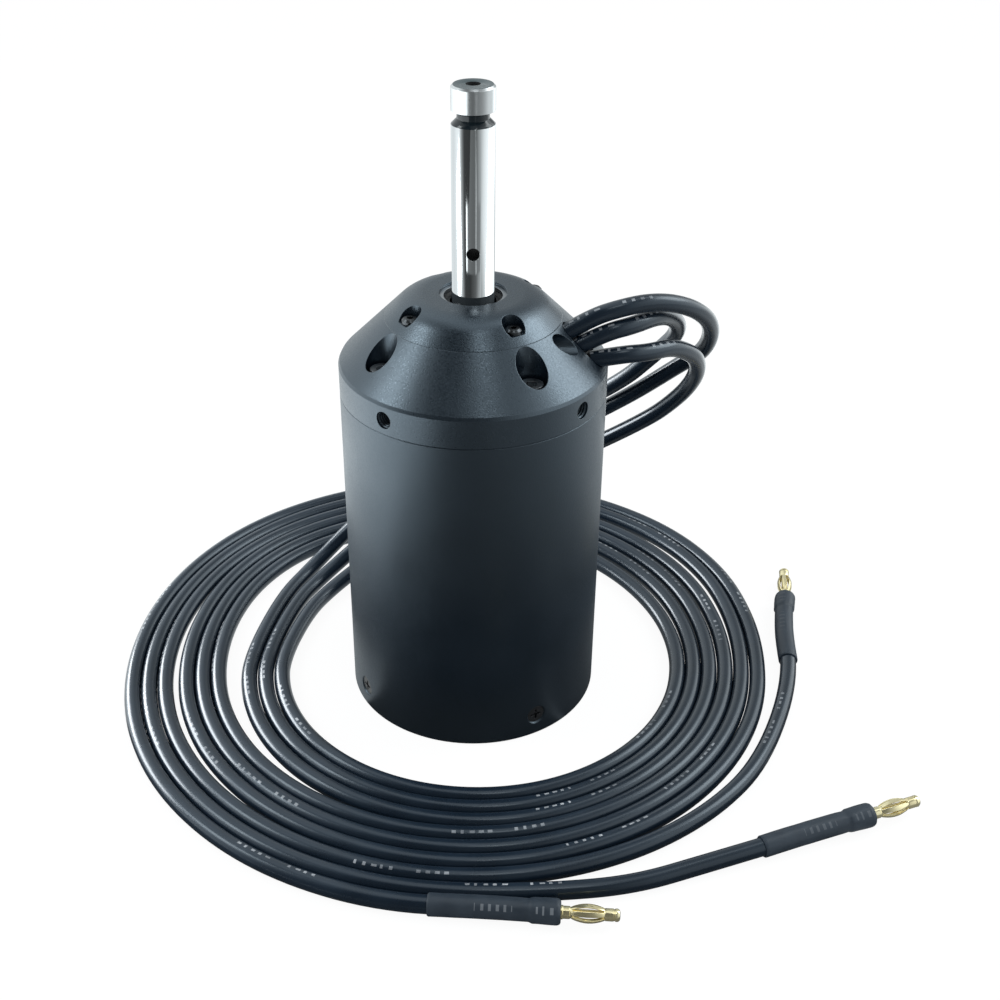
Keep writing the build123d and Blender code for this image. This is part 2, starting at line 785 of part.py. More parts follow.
def laid_lead(points):
    radii = corner_radii(points)
    with BuildPart() as tube:
        with BuildLine() as path:
            FilletPolyline(*points, radius=radii)
        line = path.wire()
        with BuildSketch(Plane(origin=points[0], z_dir=points[1] - points[0])) as cut:
            RegularPolygon(lead_radius, lead_flats)
        sweep(path=line)
    share = tube.part.volume / (cut.sketch.area * line.length)
    print("radii", [round(radius, 1) for radius in radii])
    print("length", round(line.length, 1), "volume over section times length", round(share, 4))
    return tube.part


def end_direction(name):
    return (Vector(*end_aim[name]) - Vector(*end_start[name])).normalized()


for name, route in lead_routes.items():
    root = lead_root(name)
    straight_out = root + lead_direction(name) * (lead_set_in + lead_straight)
    with BuildPart() as lead:
        add(laid_lead([root, straight_out] + [Vector(*point) for point in route]))
    lead.part.label = f"lead_{name}"
    export_step(lead.part, f"parts/lead_{name}.step")

# Lead b leaves the coil before its sleeve
sleeve_mouth = Vector(*end_start["b"])
last_corner = sleeve_mouth - end_direction("b") * tail_straight
with BuildPart() as lead_tail_b:
    add(laid_lead([Vector(*point) for point in tail_route] + [last_corner, sleeve_mouth]))
lead_tail_b.part.label = "lead_tail_b"
export_step(lead_tail_b.part, "parts/lead_tail_b.step")

# The coil that the three leads make on the floor
with BuildPart() as lead_coil:
    with BuildSketch(Plane.XY):
        with Locations(coil_centre):
            Circle(coil_radius)
        with Locations(coil_eye_centre):
            Circle(coil_eye_radius, mode=Mode.SUBTRACT)
    extrude(amount=coil_height)
lead_coil.part.label = "lead_coil"
export_step(lead_coil.part, "parts/lead_coil.step")

# Crimped ends: shrink sleeve over the joint, bullet connector in its mouth. The connector's
# outline is radius and reach beyond the sleeve: shank, neck, bulged springs, rounded tip.
bullet_outline = [
    (0, -bullet_cup_depth),
    (bullet_radius, -bullet_cup_depth),
    (bullet_radius, 2.0),
    (1.5, 2.4),
    (1.7, 3.6),
    (2.2, 6.0),
    (2.2, 8.4),
    (1.7, 10.6),
    (1.5, 12.2),
    (0.9, bullet_length),
    (0, bullet_length),
]
for name in lead_place:
    start = Vector(*end_start[name])
    aim = end_direction(name)
    level = Vector(-aim.Y, aim.X, 0).normalized()
    profile_plane = Plane(origin=start, x_dir=level, z_dir=level.cross(aim))
    axis = Axis(start, aim)
    with BuildPart() as sleeve:
        with BuildSketch(profile_plane):
            with BuildLine():
                Polyline(
                    (0, 0),
                    (sleeve_radius, 0),
                    (sleeve_radius, sleeve_length - sleeve_swell_length),
                    (sleeve_swell_radius, sleeve_length - sleeve_swell_length + 1.5),
                    (sleeve_swell_radius, sleeve_length - 0.6),
                    (sleeve_swell_radius - 0.5, sleeve_length),
                    (bullet_radius, sleeve_length),
                    (bullet_radius, sleeve_length - bullet_cup_depth),
                    (0, sleeve_length - bullet_cup_depth),
                    close=True,
                )
            make_face()
        revolve(axis=axis)
    sleeve.part.label = f"lead_sleeve_{name}"
    export_step(sleeve.part, f"parts/lead_sleeve_{name}.step")
    with BuildPart() as bullet:
        with BuildSketch(profile_plane):
            with BuildLine():
                Polyline(*[(radius, sleeve_length + reach) for radius, reach in bullet_outline], close=True)
            make_face()
        revolve(axis=axis)
    bullet.part.label = f"bullet_connector_{name}"
    export_step(bullet.part, f"parts/bullet_connector_{name}.step")
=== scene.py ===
import json
import math

import bmesh
import bpy
from mathutils import Matrix, Vector, noise


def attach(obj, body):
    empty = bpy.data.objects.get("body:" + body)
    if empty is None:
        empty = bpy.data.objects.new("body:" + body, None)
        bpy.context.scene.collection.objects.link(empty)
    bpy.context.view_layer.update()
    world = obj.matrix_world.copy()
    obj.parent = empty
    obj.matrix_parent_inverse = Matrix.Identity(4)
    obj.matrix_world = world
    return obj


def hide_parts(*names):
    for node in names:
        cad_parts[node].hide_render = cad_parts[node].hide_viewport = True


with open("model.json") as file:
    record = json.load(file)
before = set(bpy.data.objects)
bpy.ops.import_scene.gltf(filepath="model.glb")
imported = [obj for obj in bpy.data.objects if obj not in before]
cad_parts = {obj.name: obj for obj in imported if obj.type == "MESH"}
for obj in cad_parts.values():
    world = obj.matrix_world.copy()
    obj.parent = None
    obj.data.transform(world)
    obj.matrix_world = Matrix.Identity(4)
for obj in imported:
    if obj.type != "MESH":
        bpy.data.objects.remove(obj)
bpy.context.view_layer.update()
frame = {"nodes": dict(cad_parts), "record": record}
mm = 0.001
print("frame loaded:", len(frame["nodes"]), "nodes")


# Small helpers for node trees and meshes

def addNode(tree, kind, sockets=None, **settings):
    node = tree.nodes.new(kind)
    for key, value in settings.items():
        setattr(node, key, value)
    for key, value in (sockets or {}).items():
        if isinstance(value, bpy.types.NodeSocket):
            tree.links.new(value, node.inputs[key])
        else:
            node.inputs[key].default_value = value
    return node


def mathOut(tree, operation, first, second=0.0, third=0.0):
    sockets = {0: first, 1: second, 2: third}
    return addNode(tree, "ShaderNodeMath", sockets, operation=operation).outputs[0]


def absOut(tree, value):
    return mathOut(tree, "ABSOLUTE", value)


def below(tree, value, limit):
    return mathOut(tree, "LESS_THAN", value, limit)


def above(tree, value, limit):
    return mathOut(tree, "GREATER_THAN", value, limit)


def within(tree, value, middle, half):
    return below(tree, absOut(tree, mathOut(tree, "SUBTRACT", value, middle)), half)


def both(tree, first, second):
    return mathOut(tree, "MULTIPLY", first, second)


def either(tree, first, second):
    return mathOut(tree, "MAXIMUM", first, second)


def splitOut(tree, vector):
    return addNode(tree, "ShaderNodeSeparateXYZ", {0: vector}).outputs


def mapRange(tree, value, source, target=(0.0, 1.0)):
    return addNode(tree, "ShaderNodeMapRange", {
        "Value": value, "From Min": source[0], "From Max": source[1],
        "To Min": target[0], "To Max": target[1]}).outputs[0]


def mixColor(tree, factor, first, second, blend="MIX"):
    return addNode(tree, "ShaderNodeMix", {"Factor": factor, "A": first, "B": second},
                   data_type="RGBA", blend_type=blend).outputs["Result"]


def mixShader(tree, factor, first, second):
    return addNode(tree, "ShaderNodeMixShader", {
        0: factor, 1: first.outputs[0], 2: second.outputs[0]})


def newObject(name, mesh):
    thing = bpy.data.objects.new(name, mesh)
    bpy.context.scene.collection.objects.link(thing)
    return thing


def meshFrom(name, vertices, faces, sharpDegrees=35):
    mesh = bpy.data.meshes.new(name)
    mesh.from_pydata([tuple(v) for v in vertices], [], faces)
    mesh.validate()
    finishShading(mesh, sharpDegrees)
    return mesh


def finishShading(mesh, sharpDegrees=35):
    work = bmesh.new()
    work.from_mesh(mesh)
    bmesh.ops.recalc_face_normals(work, faces=work.faces)
    work.to_mesh(mesh)
    work.free()
    mesh.shade_smooth()
    mesh.set_sharp_from_angle(angle=math.radians(sharpDegrees))


def latheMesh(name, profile, segments=96, sharpDegrees=35, place=None):
    # turns (radius, height) pairs in millimetres about Z; a radius of 0 makes a pole
    rings, vertices, faces = [], [], []
    for radius, height in profile:
        start = len(vertices)
        count = 1 if radius < 1e-6 else segments
        for step in range(count):
            angle = 2 * math.pi * step / segments
            vertices.append(Vector((radius * math.cos(angle), radius * math.sin(angle), height)) * mm)
        rings.append((start, count))
    closed = profile[0][0] > 1e-6 and profile[-1][0] > 1e-6
    pairs = list(zip(rings, rings[1:]))
    if closed:
        pairs.append((rings[-1], rings[0]))
    for (low, lowCount), (high, highCount) in pairs:
        for step in range(segments):
            after = (step + 1) % segments
            corners = [low + step % lowCount, low + after % lowCount,
                       high + after % highCount, high + step % highCount]
            face = list(dict.fromkeys(corners))
            if len(face) > 2:
                faces.append(face)
    if place is not None:
        vertices = [place @ vertex for vertex in vertices]
    return meshFrom(name, vertices, faces, sharpDegrees)


def placeAlong(start, direction):
    # local Z runs along the direction, local X is level
    zAxis = Vector(direction).normalized()
    xAxis = Vector((0, 0, 1)).cross(zAxis).normalized()
    turn = Matrix((xAxis, zAxis.cross(xAxis), zAxis)).transposed().to_4x4()
    return Matrix.Translation(Vector(start)) @ turn


def newTree(name, sockets):
    tree = bpy.data.node_groups.new(name, "GeometryNodeTree")
    tree.interface.new_socket("Geometry", in_out="INPUT", socket_type="NodeSocketGeometry")
    for label, kind in sockets:
        tree.interface.new_socket(label, in_out="INPUT", socket_type=kind)
    tree.interface.new_socket("Geometry", in_out="OUTPUT", socket_type="NodeSocketGeometry")
    return tree, tree.nodes.new("NodeGroupInput"), tree.nodes.new("NodeGroupOutput")


def finishTree(tree, groupIn, groupOut, geometry):
    realized = addNode(tree, "GeometryNodeRealizeInstances", {"Geometry": geometry})
    painted = addNode(tree, "GeometryNodeSetMaterial", {
        "Geometry": realized.outputs[0], "Material": groupIn.outputs["Material"]})
    tree.links.new(painted.outputs[0], groupOut.inputs[0])


def bakeTree(carrier, tree, values, name):
    # sets the named inputs, evaluates once and returns a plain mesh
    modifier = carrier.modifiers.new("build", "NODES")
    modifier.node_group = tree
    for item in tree.interface.items_tree:
        if item.in_out == "INPUT" and item.name in values:
            modifier[item.identifier] = values[item.name]
    graph = bpy.context.evaluated_depsgraph_get()
    mesh = bpy.data.meshes.new_from_object(carrier.evaluated_get(graph), depsgraph=graph)
    mesh.name = name
    carrier.modifiers.remove(modifier)
    return mesh


# Camera at the photograph's view, and the stage

cameraValues = {
    "place": (0.0, -0.306946, 0.241133),
    "downTilt": 31.41,
    "lens": 50.494,
    "shiftX": 0.0268,
}
cameraData = bpy.data.cameras.new("camera")
cameraData.lens = cameraValues["lens"]
cameraData.sensor_width = 36
cameraData.shift_x = cameraValues["shiftX"]
camera = newObject("camera", cameraData)
camera.location = cameraValues["place"]
camera.rotation_euler = (math.radians(90 - cameraValues["downTilt"]), 0, 0)
cameraData.clip_start = 0.01
bpy.context.scene.camera = camera
bpy.context.scene.view_settings.view_transform = "Standard"

stageValues = {
    "floorHalf": 3.0,
    "floorColor": (0.86, 0.865, 0.87, 1),
    "floorLift": 0.93,
    "shadowShare": 0.14,
    "worldColor": (0.94, 0.97, 1.0, 1),
    "worldLevel": 0.5,
}

# what glossy surfaces see of the studio, by the angle round the motor: 0 is the camera's
# side, growing to the right; each stop is (degrees, level)
floorStops = [(-180, 0.6), (-165, 0.7), (-145, 1.1), (-120, 1.4), (-95, 2.0), (-65, 1.9), (-31, 1.7),
              (-29, 0.2), (0, 0.15), (12, 0.15), (15, 0.8), (18, 0.2), (31, 0.25), (48, 0.32), (66, 0.5),
              (86, 0.8), (110, 0.75), (135, 1.6), (165, 0.8), (180, 0.6)]
wallStops = [(-180, 0.6), (-150, 0.85), (-120, 0.9), (-95, 1.2), (-80, 1.2), (-62, 0.3), (-50, 0.06),
             (-15, 0.05), (15, 0.15), (36, 0.5), (63, 1.1), (85, 1.4), (110, 1.5), (132, 1.7), (146, 0.4),
             (180, 0.45)]
studioTint = (0.93, 0.985, 1.0, 1)

# how that pattern changes over the floor, in metres from the motor's axis, and over the walls, by
# height on a unit sphere; each strength goes from the first value to the second across its range
cardValues = {
    "spreadRange": (0.045, 0.075),
    "spreadMost": (0.085, 0.15),
    "spreadEnd": 0.22,
    "spreadTurn": 6.458,
    "floorRange": (0.085, 0.15),
    "floorStrength": (0.7, 2.25),
    "ceilingRange": (0.66, 0.88),
    "ceilingStrength": (2.0, 0.5),
    "behindDegrees": (105, 135),
    "overheadRange": (0.93, 0.99),
    "overheadColor": (0.38, 0.4, 0.41, 1),
    "evenStrength": 2.4,
}


def levelRamp(tree, turn, stops):
    # turn is an angle in radians; levels are halved here, because a ramp stops at 1
    share = mathOut(tree, "MULTIPLY_ADD", turn, 1 / (2 * math.pi), 0.5)
    ramp = addNode(tree, "ShaderNodeValToRGB", {0: share})
    elements = ramp.color_ramp.elements
    for number, (degrees, level) in enumerate(stops):
        position = degrees / 360 + 0.5
        element = elements[number] if number < 2 else elements.new(position)
        element.position = position
        element.color = (level / 2, level / 2, level / 2, 1)
    return ramp.outputs[0]


def tinted(tree, color):
    return mixColor(tree, 1.0, color, studioTint, "MULTIPLY")


def turnAndReach(tree, vector):
    # angle of a vector round Z from the camera's side, and its level length
    split = splitOut(tree, vector)
    turn = mathOut(tree, "ARCTAN2", split["X"], mathOut(tree, "MULTIPLY", split["Y"], -1.0))
    squares = mathOut(tree, "ADD", *(
        mathOut(tree, "POWER", absOut(tree, split[axis]), 2.0) for axis in "XY"))
    return turn, mathOut(tree, "SQRT", squares)


def floorTurn(tree, turn, reach):
    # the pattern on the floor spreads out near the motor
    most = mapRange(tree, reach, cardValues["spreadRange"], cardValues["spreadMost"])
    left = mathOut(tree, "SUBTRACT", cardValues["spreadEnd"], reach)
    near = mathOut(tree, "MINIMUM", mathOut(tree, "MAXIMUM", left, 0.0), most)
    size = mathOut(tree, "SUBTRACT", absOut(tree, turn),
                   mathOut(tree, "MULTIPLY", near, cardValues["spreadTurn"]))
    return mathOut(tree, "MULTIPLY", mathOut(tree, "SIGN", turn), mathOut(tree, "MAXIMUM", size, 0.0))


def makeFloor():
    half = stageValues["floorHalf"]
    corners = [(-half, -half, 0), (half, -half, 0), (half, half, 0), (-half, half, 0)]
    floor = newObject("floor", meshFrom("floor", corners, [(0, 1, 2, 3)]))
    material = bpy.data.materials.new("studioFloor")
    material.use_nodes = True
    tree = material.node_tree
    tree.nodes.clear()
    path = addNode(tree, "ShaderNodeLightPath").outputs
    place = addNode(tree, "ShaderNodeTexCoord").outputs["Object"]
    diffuse = addNode(tree, "ShaderNodeBsdfDiffuse", {"Color": stageValues["floorColor"]})
    white = addNode(tree, "ShaderNodeEmission", {
        "Color": (1, 1, 1, 1), "Strength": stageValues["floorLift"]})
    share = stageValues["shadowShare"]
    shaded = addNode(tree, "ShaderNodeBsdfDiffuse", {"Color": (share, share, share, 1)})
    lifted = addNode(tree, "ShaderNodeAddShader", {0: white.outputs[0], 1: shaded.outputs[0]})
    seen = mixShader(tree, path["Is Camera Ray"], diffuse, lifted)
    turn, reach = turnAndReach(tree, place)
    level = tinted(tree, levelRamp(tree, floorTurn(tree, turn, reach), floorStops))
    # close to the motor the dark leads take the light away
    strength = mapRange(tree, reach, cardValues["floorRange"], cardValues["floorStrength"])
    card = addNode(tree, "ShaderNodeEmission", {"Color": level, "Strength": strength})
    glossy = mixShader(tree, path["Is Glossy Ray"], seen, card)
    out = addNode(tree, "ShaderNodeOutputMaterial")
    tree.links.new(glossy.outputs[0], out.inputs[0])
    floor.data.materials.append(material)


def makeWorld():
    values = cardValues
    world = bpy.data.worlds.new("studio")
    bpy.context.scene.world = world
    world.use_nodes = True
    tree = world.node_tree
    tree.nodes.clear()
    path = addNode(tree, "ShaderNodeLightPath").outputs
    place = addNode(tree, "ShaderNodeTexCoord").outputs["Generated"]
    turn = turnAndReach(tree, place)[0]
    height = splitOut(tree, place)["Z"]
    # the ceiling is darker than the walls in front of the motor
    ceiling = mapRange(tree, height, values["ceilingRange"], values["ceilingStrength"])
    behindSpan = [math.radians(degrees) for degrees in values["behindDegrees"]]
    behind = mapRange(tree, absOut(tree, turn), behindSpan)
    # straight overhead it is even all round
    overhead = mapRange(tree, height, values["overheadRange"])
    strength = ceiling
    for share in (behind, overhead):
        strength = addNode(tree, "ShaderNodeMix", {
            "Factor": share, "A": strength, "B": values["evenStrength"]}).outputs["Result"]
    level = mixColor(tree, overhead, tinted(tree, levelRamp(tree, turn, wallStops)), values["overheadColor"])
    plain = addNode(tree, "ShaderNodeBackground", {
        "Color": stageValues["worldColor"], "Strength": stageValues["worldLevel"]})
    card = addNode(tree, "ShaderNodeBackground", {"Color": level, "Strength": strength})
    white = addNode(tree, "ShaderNodeBackground", {"Color": (1, 1, 1, 1), "Strength": 1.0})
    glossy = mixShader(tree, path["Is Glossy Ray"], plain, card)
    seen = mixShader(tree, path["Is Camera Ray"], glossy, white)
    out = addNode(tree, "ShaderNodeOutputWorld")
    tree.links.new(seen.outputs[0], out.inputs[0])


lampValues = {
    "left": {"place": (-0.470, -0.03, 0.44), "size": (0.19, 0.22), "watts": 0.58},
    "right": {"place": (0.465, 0.116, 0.43), "size": (0.28, 0.28), "watts": 0.75},
    "top": {"place": (0.074, -0.242, 0.62), "size": (0.14, 0.14), "watts": 0.17},
}
lampTarget = (0, 0, 0.07)
edgeLampValues = {"place": (-0.54, 0.24, 0.19), "size": (0.46, 0.2), "watts": 3.6}
edgeLampTarget = (-0.08, 0, 0)


def addLamp(name, values, target, color):
    data = bpy.data.lights.new(name, "AREA")
    data.shape = "RECTANGLE"
    data.size, data.size_y = values["size"]
    data.energy = values["watts"]
    data.color = color
    lamp = newObject(name, data)
    lamp.location = values["place"]
    lamp.visible_camera = False
    lamp.rotation_mode = "QUATERNION"
    lamp.rotation_quaternion = (Vector(target) - lamp.location).to_track_quat("-Z", "Y")
    return lamp


def makeEdgeLamp(receivers):
    # a low strip behind the left side that only the leads catch, for the thin bright line along them
    lamp = addLamp("edgeStrip", edgeLampValues, edgeLampTarget, (1, 1, 1))
    group = bpy.data.collections.new("edgeStripReceivers")
    for thing in receivers:
        group.objects.link(thing)
    lamp.light_linking.receiver_collection = group


makeFloor()
makeWorld()
for lampName, lampRow in lampValues.items():
    addLamp(lampName + "Softbox", lampRow, lampTarget, studioTint[:3])
print("camera and stage ready")


# Finishes

noiseSpan = (0.3, 0.7)  # where the values of a noise texture mostly lie


def newMaterial(name):
    material = bpy.data.materials.new(name)
    material.use_nodes = True
    tree = material.node_tree
    tree.nodes.clear()
    shader = addNode(tree, "ShaderNodeBsdfPrincipled")
    out = addNode(tree, "ShaderNodeOutputMaterial")
    tree.links.new(shader.outputs[0], out.inputs[0])
    return material, tree, shader


def setShader(shader, values):
    for key, value in values.items():
        shader.inputs[key].default_value = value


def grainOutputs(tree, scale, detail=3.0, stretch=(1, 1, 1)):
    place = addNode(tree, "ShaderNodeTexCoord")
    mapping = addNode(tree, "ShaderNodeMapping", {"Vector": place.outputs["Object"], "Scale": stretch})
    return addNode(tree, "ShaderNodeTexNoise", {
        "Vector": mapping.outputs[0], "Scale": scale, "Detail": detail}).outputs


def mixedColor(tree, factor, first, second):
    ramp = addNode(tree, "ShaderNodeValToRGB", {0: factor})
    for element, position, color in zip(ramp.color_ramp.elements, noiseSpan, (first, second)):
        element.position = position
        element.color = color
    return ramp.outputs[0]


def rangedValue(tree, factor, low, high):
    return mapRange(tree, factor, noiseSpan, (low, high))


def addBump(tree, shader, height, strength, depth, rounding=0.0):
    # fine grain, over edges that look rounded; depth and rounding are in millimetres
    bump = addNode(tree, "ShaderNodeBump", {"Height": height, "Strength": strength, "Distance": depth * mm})
    if rounding:
        rounded = addNode(tree, "ShaderNodeBevel", {"Radius": rounding * mm}, samples=6)
        tree.links.new(rounded.outputs[0], bump.inputs["Normal"])
    tree.links.new(bump.outputs[0], shader.inputs["Normal"])


def grainFinish(name, dark, light, roughness, grainScale, bumpDepth,
                edge=0.0, stretch=(1, 1, 1), speckle=0.0, sockets=None):
    # mottled colour, uneven gloss and fine grain; speckle makes the gloss follow the grain
    material, tree, shader = newMaterial(name)
    broad = grainOutputs(tree, 60)["Fac"]
    fine = grainOutputs(tree, grainScale, 2.0, stretch)["Fac"]
    tree.links.new(mixedColor(tree, broad, dark, light), shader.inputs["Base Color"])
    gloss = rangedValue(tree, broad, *roughness)
    if speckle:
        gloss = mathOut(tree, "ADD", gloss, rangedValue(tree, fine, -speckle, speckle))
    tree.links.new(gloss, shader.inputs["Roughness"])
    addBump(tree, shader, fine, 0.35, bumpDepth, edge)
    setShader(shader, sockets or {})
    return material


# (dark colour, light colour, roughness range, grain per metre, grain depth in mm, and so on)
anodisedColors = (0.003, 0.007, 0.0125, 1), (0.0045, 0.0095, 0.0165, 1)
anodisedSockets = {"IOR": 2.05, "Specular Tint": (0.70, 0.86, 1.0, 1)}
tubeColors = (0.03, 0.044, 0.062, 1), (0.042, 0.06, 0.082, 1)
finishes = {
    "anodisedBlack": grainFinish(
        "anodisedBlack", *anodisedColors, (0.36, 0.42),
        2600, 0.05, edge=0.22, speckle=0.05, sockets=anodisedSockets),
    "noseAnodised": grainFinish(
        "noseAnodised", *anodisedColors, (0.31, 0.36),
        2600, 0.07, edge=0.22, speckle=0.07, sockets=anodisedSockets),
    "capAnodised": grainFinish(
        "capAnodised", *anodisedColors, (0.27, 0.32),
        2600, 0.07, edge=0.22, speckle=0.07, sockets=anodisedSockets),
    "screwGrey": grainFinish(
        "screwGrey", (0.32, 0.34, 0.36, 1), (0.44, 0.465, 0.49, 1), (0.3, 0.4),
        1800, 0.01, edge=0.12, sockets={"Metallic": 1.0}),
    "screwBlack": grainFinish(
        "screwBlack", (0.06, 0.065, 0.07, 1), (0.1, 0.108, 0.116, 1), (0.24, 0.34),
        1800, 0.01, edge=0.12, sockets={"Metallic": 1.0}),
    "groundSteel": grainFinish(
        "groundSteel", (0.66, 0.68, 0.69, 1), (0.72, 0.74, 0.75, 1), (0.09, 0.13),
        900, 0.003, edge=0.12, stretch=(1, 1, 30), sockets={"Metallic": 1.0}),
    "platedSteel": grainFinish(
        "platedSteel", (0.34, 0.34, 0.34, 1), (0.45, 0.45, 0.44, 1), (0.25, 0.4),
        1500, 0.01, edge=0.1, sockets={"Metallic": 1.0}),
    "blackSteel": grainFinish(
        "blackSteel", (0.012, 0.013, 0.015, 1), (0.022, 0.024, 0.027, 1), (0.28, 0.4),
        1800, 0.01, edge=0.1, sockets={"IOR": 1.8}),
    "bareCopper": grainFinish(
        "bareCopper", (0.55, 0.24, 0.12, 1), (0.7, 0.34, 0.18, 1), (0.25, 0.4), 1500, 0.02,
        sockets={"Metallic": 1.0}),
    "softRubber": grainFinish(
        "softRubber", (0.006, 0.007, 0.008, 1), (0.010, 0.011, 0.013, 1), (0.5, 0.62),
        1400, 0.02, edge=0.2),
    "shrinkTube": grainFinish(
        "shrinkTube", *tubeColors, (0.42, 0.55), 900, 0.05, edge=0.15),
    "goldPlate": grainFinish(
        "goldPlate", (1.0, 0.84, 0.44, 1), (1.0, 0.92, 0.6, 1), (0.08, 0.16),
        1200, 0.006, edge=0.06, sockets={"Metallic": 0.8}),
    "bearingSteel": grainFinish(
        "bearingSteel", (0.55, 0.55, 0.56, 1), (0.62, 0.62, 0.63, 1), (0.12, 0.22),
        1500, 0.004, edge=0.08, sockets={"Metallic": 1.0}),
    "cagePlastic": grainFinish(
        "cagePlastic", (0.06, 0.06, 0.06, 1), (0.09, 0.09, 0.09, 1), (0.4, 0.5), 1200, 0.01),
    "laminationSteel": grainFinish(
        "laminationSteel", (0.22, 0.22, 0.23, 1), (0.3, 0.3, 0.31, 1), (0.4, 0.55),
        400, 0.05, stretch=(0.1, 0.1, 8), sockets={"Metallic": 0.8}),
    "sheetInsulator": grainFinish(
        "sheetInsulator", (0.68, 0.64, 0.5, 1), (0.76, 0.73, 0.6, 1), (0.45, 0.6), 800, 0.02),
    "enamelledCopper": grainFinish(
        "enamelledCopper", (0.48, 0.17, 0.06, 1), (0.62, 0.26, 0.1, 1), (0.2, 0.32),
        700, 0.1, stretch=(6, 6, 0.4), sockets={"Metallic": 0.7}),
    "magnetPlate": grainFinish(
        "magnetPlate", (0.5, 0.5, 0.5, 1), (0.6, 0.6, 0.6, 1), (0.2, 0.3), 1200, 0.01,
        sockets={"Metallic": 1.0}),
    "carbonBand": grainFinish(
        "carbonBand", (0.02, 0.02, 0.02, 1), (0.04, 0.04, 0.04, 1), (0.3, 0.4), 500, 0.05,
        stretch=(0.3, 0.3, 8)),
    "turnedBrass": grainFinish(
        "turnedBrass", (0.62, 0.45, 0.18, 1), (0.72, 0.55, 0.25, 1), (0.22, 0.34), 900, 0.01,
        stretch=(1, 1, 12), sockets={"Metallic": 1.0}),
}


# heights and distances from the axis, in metres, of the parts of the shaft with painted shade, a painted
# reflection or a duller gloss
shaftLooks = {
    "crossHeight": 0.1222,
    "crossHalf": 0.0019,
    "crossReach": 0.00485,
    "centreBottom": 0.150,
    "centreReach": 0.00168,
    "endHeight": 0.15955,
    # painted reflection: the end face is a dull blue-grey instead of metal
    "endReflectionColor": (0.085, 0.122, 0.133, 1),
    "neckHeight": 0.15245,
    "neckHalf": 0.00156,
    "neckReach": 0.00496,
    "rootHeight": 0.1116,
    # painted shade on the neck under the collar and at the root by the seal
    "neckRootShadeColor": (0.012, 0.02, 0.026, 1),
    # painted shade, near black, inside the cross hole and the centre hole
    "holeShadeColor": (0.002, 0.003, 0.004, 1),
    "hollowDull": 0.7,
    "collarHeight": 0.154,
    "collarDull": 0.14,
}


def shaftFinish():
    # ground steel, with painted shade inside its cross hole and centre hole, on its neck and at its root,
    # and a painted dull reflection on its end face, none of them metal; duller on its end face
    looks = shaftLooks
    tree = finishes["groundSteel"].node_tree
    shader = next(node for node in tree.nodes if node.type == "BSDF_PRINCIPLED")
    place = addNode(tree, "ShaderNodeTexCoord").outputs["Object"]
    reach = turnAndReach(tree, place)[1]
    height = splitOut(tree, place)["Z"]
    inCross = both(tree, within(tree, height, looks["crossHeight"], looks["crossHalf"]),
                   below(tree, reach, looks["crossReach"]))
    inCentre = both(tree, above(tree, height, looks["centreBottom"]),
                    below(tree, reach, looks["centreReach"]))
    onNeck = both(tree, within(tree, height, looks["neckHeight"], looks["neckHalf"]),
                  below(tree, reach, looks["neckReach"]))
    onEnd = above(tree, height, looks["endHeight"])
    onRoot = below(tree, height, looks["rootHeight"])
    hollow = either(tree, inCross, inCentre)
    shaded = either(tree, onNeck, onRoot)
    color = shader.inputs["Base Color"].links[0].from_socket
    # paint the shade and the end face's dull reflection into the colour
    for mask, shade in ((onEnd, looks["endReflectionColor"]), (shaded, looks["neckRootShadeColor"]),
                        (hollow, looks["holeShadeColor"])):
        color = mixColor(tree, mask, color, shade)
    dark = either(tree, hollow, either(tree, shaded, onEnd))
    gloss = shader.inputs["Roughness"].links[0].from_socket
    onCollar = above(tree, height, looks["collarHeight"])
    gloss = mathOut(tree, "MULTIPLY_ADD", onCollar, looks["collarDull"], gloss)
    gloss = mathOut(tree, "MULTIPLY_ADD", either(tree, hollow, onRoot), looks["hollowDull"], gloss)
    tree.links.new(color, shader.inputs["Base Color"])
    tree.links.new(mathOut(tree, "SUBTRACT", 1.0, dark), shader.inputs["Metallic"])
    tree.links.new(gloss, shader.inputs["Roughness"])


shaftFinish()
slotFinish = {
    "black_anodised": "anodisedBlack", "ground_steel": "groundSteel", "screw_steel": "platedSteel",
    "spring_steel": "blackSteel", "bearing_steel": "bearingSteel", "cage_plastic": "cagePlastic",
    "lamination_steel": "laminationSteel", "insulator": "sheetInsulator",
    "enamelled_copper": "enamelledCopper", "core_steel": "platedSteel", "magnet": "magnetPlate",
    "bare_copper": "bareCopper", "carbon_band": "carbonBand", "balance_brass": "turnedBrass",
    "seal_rubber": "softRubber", "lead_silicone": "softRubber", "shrink_tube": "shrinkTube",
    "gold_plate": "goldPlate",
}
# nodes that look different from the rest of their slot
nodeFinish = {
    "bearing_cap": "capAnodised", "nose_flange": "noseAnodised", "flange_screws": "screwGrey",
    "cap_screws": "screwBlack", "seal_circlip": "screwGrey",
}


def dressNodes():
    slotOf = {part["node"]: part["material_slot"] for part in frame["record"]["subparts"]}
    for name, thing in frame["nodes"].items():
        thing.data.materials.clear()
        thing.data.materials.append(finishes[nodeFinish.get(name, slotFinish[slotOf[name]])])


dressNodes()
print("finishes ready:", len(finishes))


# Phase leads: routes in millimetres, from the gland to the coil, then the coil by a loop

leadValues = {
    "diameter": 4.3,
    "sides": 20,
    "pitchDegrees": 15,
    "height": 2.2,
}
# marks along the leads: lengths in millimetres, the rest in turns round the lead; groups gives
# the end of the first group of bars and the two ends of the second, in bars
markValues = {
    "period": 117.6,
    "pitch": 2.1,
    "groups": (5, 7, 11),
    "halfWidth": 0.036,
    "centre": -0.2,
    "drift": 0.09,
    "driftPerMetre": 13.0,
    "color": (0.62, 0.66, 0.7, 1),
    "worn": (0.1, 0.85),
}
# the lead slot in the cone: coneSum is radius plus height anywhere on the slope
slotValues = {
    "azimuth": -12.0,
    "radius": 26.55,
    "coneSum": 126.6,
    "straight": 6.0,
    "setIn": 1.2,
}
